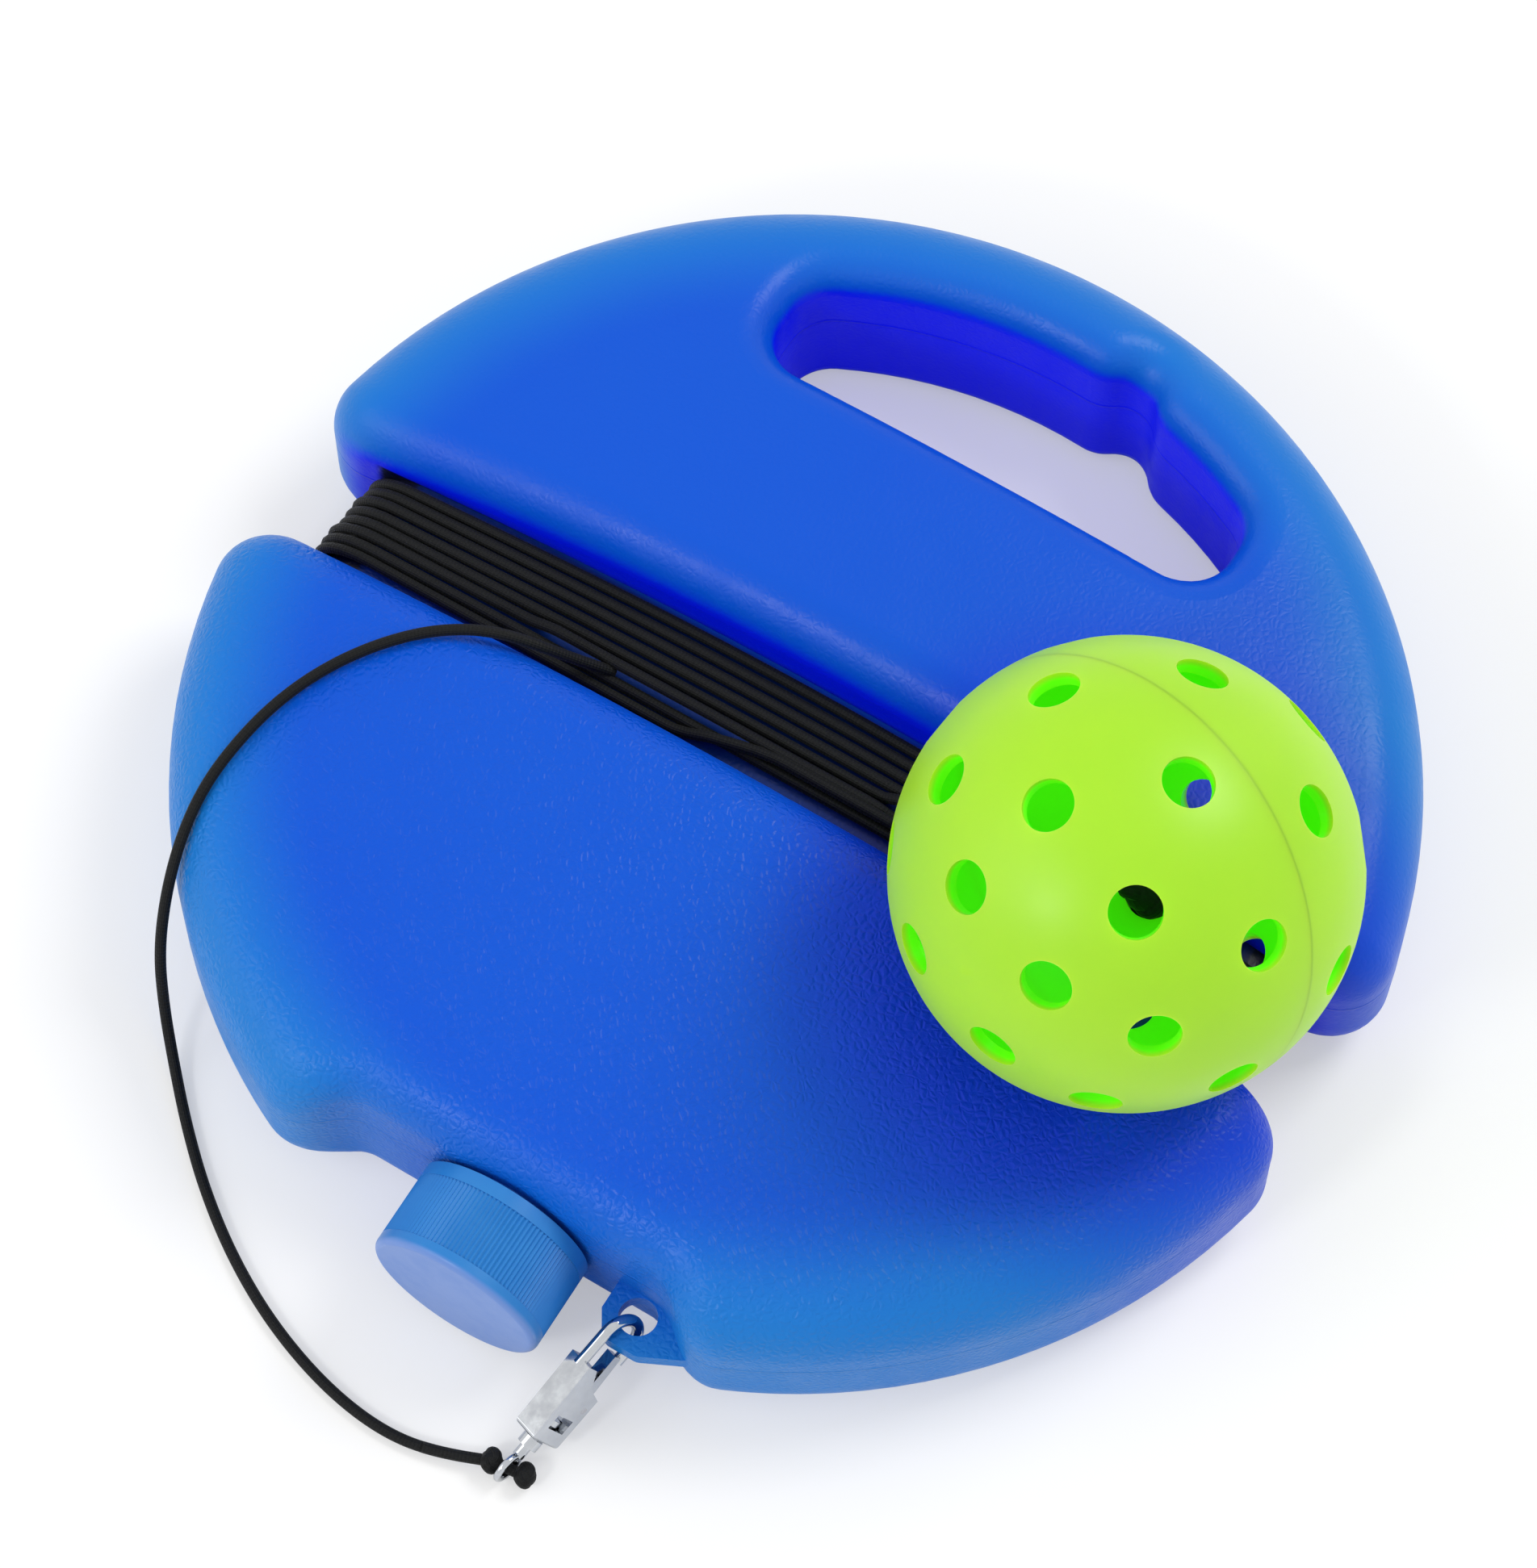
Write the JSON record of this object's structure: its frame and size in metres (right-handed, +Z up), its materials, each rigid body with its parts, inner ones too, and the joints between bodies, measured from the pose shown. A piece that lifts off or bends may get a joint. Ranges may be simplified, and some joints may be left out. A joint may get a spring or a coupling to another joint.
{
  "type": "rebound trainer base with tethered ball",
  "caption": "Round hollow base with a carrying handle, a filler cap, an elastic cord wound in a groove, a snap hook, and a perforated ball on the cord.",
  "frame": {"origin": "centre of the round base on its resting plane", "axes": "+Z up, +Y towards the carrying handle, X along the winding groove"},
  "size_m": [0.2013, 0.228, 0.1036],
  "materials": {
    "base_plastic": "blow-moulded, fine leather grain",
    "cap_plastic": "ribbed, satin",
    "seal_foam": "soft disc",
    "elastic_cord": "braided cover on a rubber core",
    "hook_chrome": "plated casting",
    "spring_steel": "bare strip",
    "ball_plastic": "smooth satin"
  },
  "bodies": {
    "base": {"base_body": "base_plastic", "cord_winding": "elastic_cord", "cord_tail": "elastic_cord", "ball_lead": "elastic_cord"},
    "seal": {"cap_seal": "seal_foam"},
    "cap": {"screw_cap": "cap_plastic"},
    "ball": {"ball_half_front": "ball_plastic", "ball_half_back": "ball_plastic", "ball_knot": "elastic_cord"},
    "hook": {"hook_body": "hook_chrome", "gate_pin": "hook_chrome", "gate_spring": "spring_steel"},
    "gate": {"hook_gate": "hook_chrome"},
    "eye": {"swivel_eye": "hook_chrome", "swivel_head": "hook_chrome", "cord_end_knots": "elastic_cord"}
  },
  "joints": [
    {"name": "cap_travel", "type": "slide", "parent": "base", "child": "seal", "axis": [0, -1, 0], "range_m": [0, 0.0159]},
    {"name": "cap_turn", "type": "hinge", "parent": "seal", "child": "cap", "pos_m": [0, -0.1016, 0.017], "axis": [0, -1, 0], "range_deg": [0, 1800]},
    {"name": "ball_lift", "type": "slide", "parent": "base", "child": "ball", "axis": [0, 0, 1], "range_m": [0, 0.25], "deforming": ["ball_lead"]},
    {"name": "hook_swing", "type": "hinge", "parent": "base", "child": "hook", "pos_m": [0.02518, -0.09538, 0.0135], "axis": [-0.8856, 0.3406, -0.3159], "range_deg": [0, 75], "deforming": ["cord_tail"]},
    {"name": "gate_turn", "type": "hinge", "parent": "hook", "child": "gate", "pos_m": [0.02356, -0.10597, 0.00663], "axis": [0.8856, -0.3406, 0.3159], "range_deg": [0, 18], "stiffness_Nm_per_rad": 0.004, "springref_deg": -20.05, "deforming": ["gate_spring"]},
    {"name": "eye_swivel", "type": "hinge", "parent": "hook", "child": "eye", "pos_m": [0.0195, -0.1198, 0.0031], "axis": [-0.2093, -0.8996, -0.3832], "range_deg": [-90, 90], "deforming": ["cord_tail"]}
  ],
  "couplings": [
    {"joint": "cap_travel", "follows": "cap_turn", "m_per_rad": 0.00050611}
  ]
}
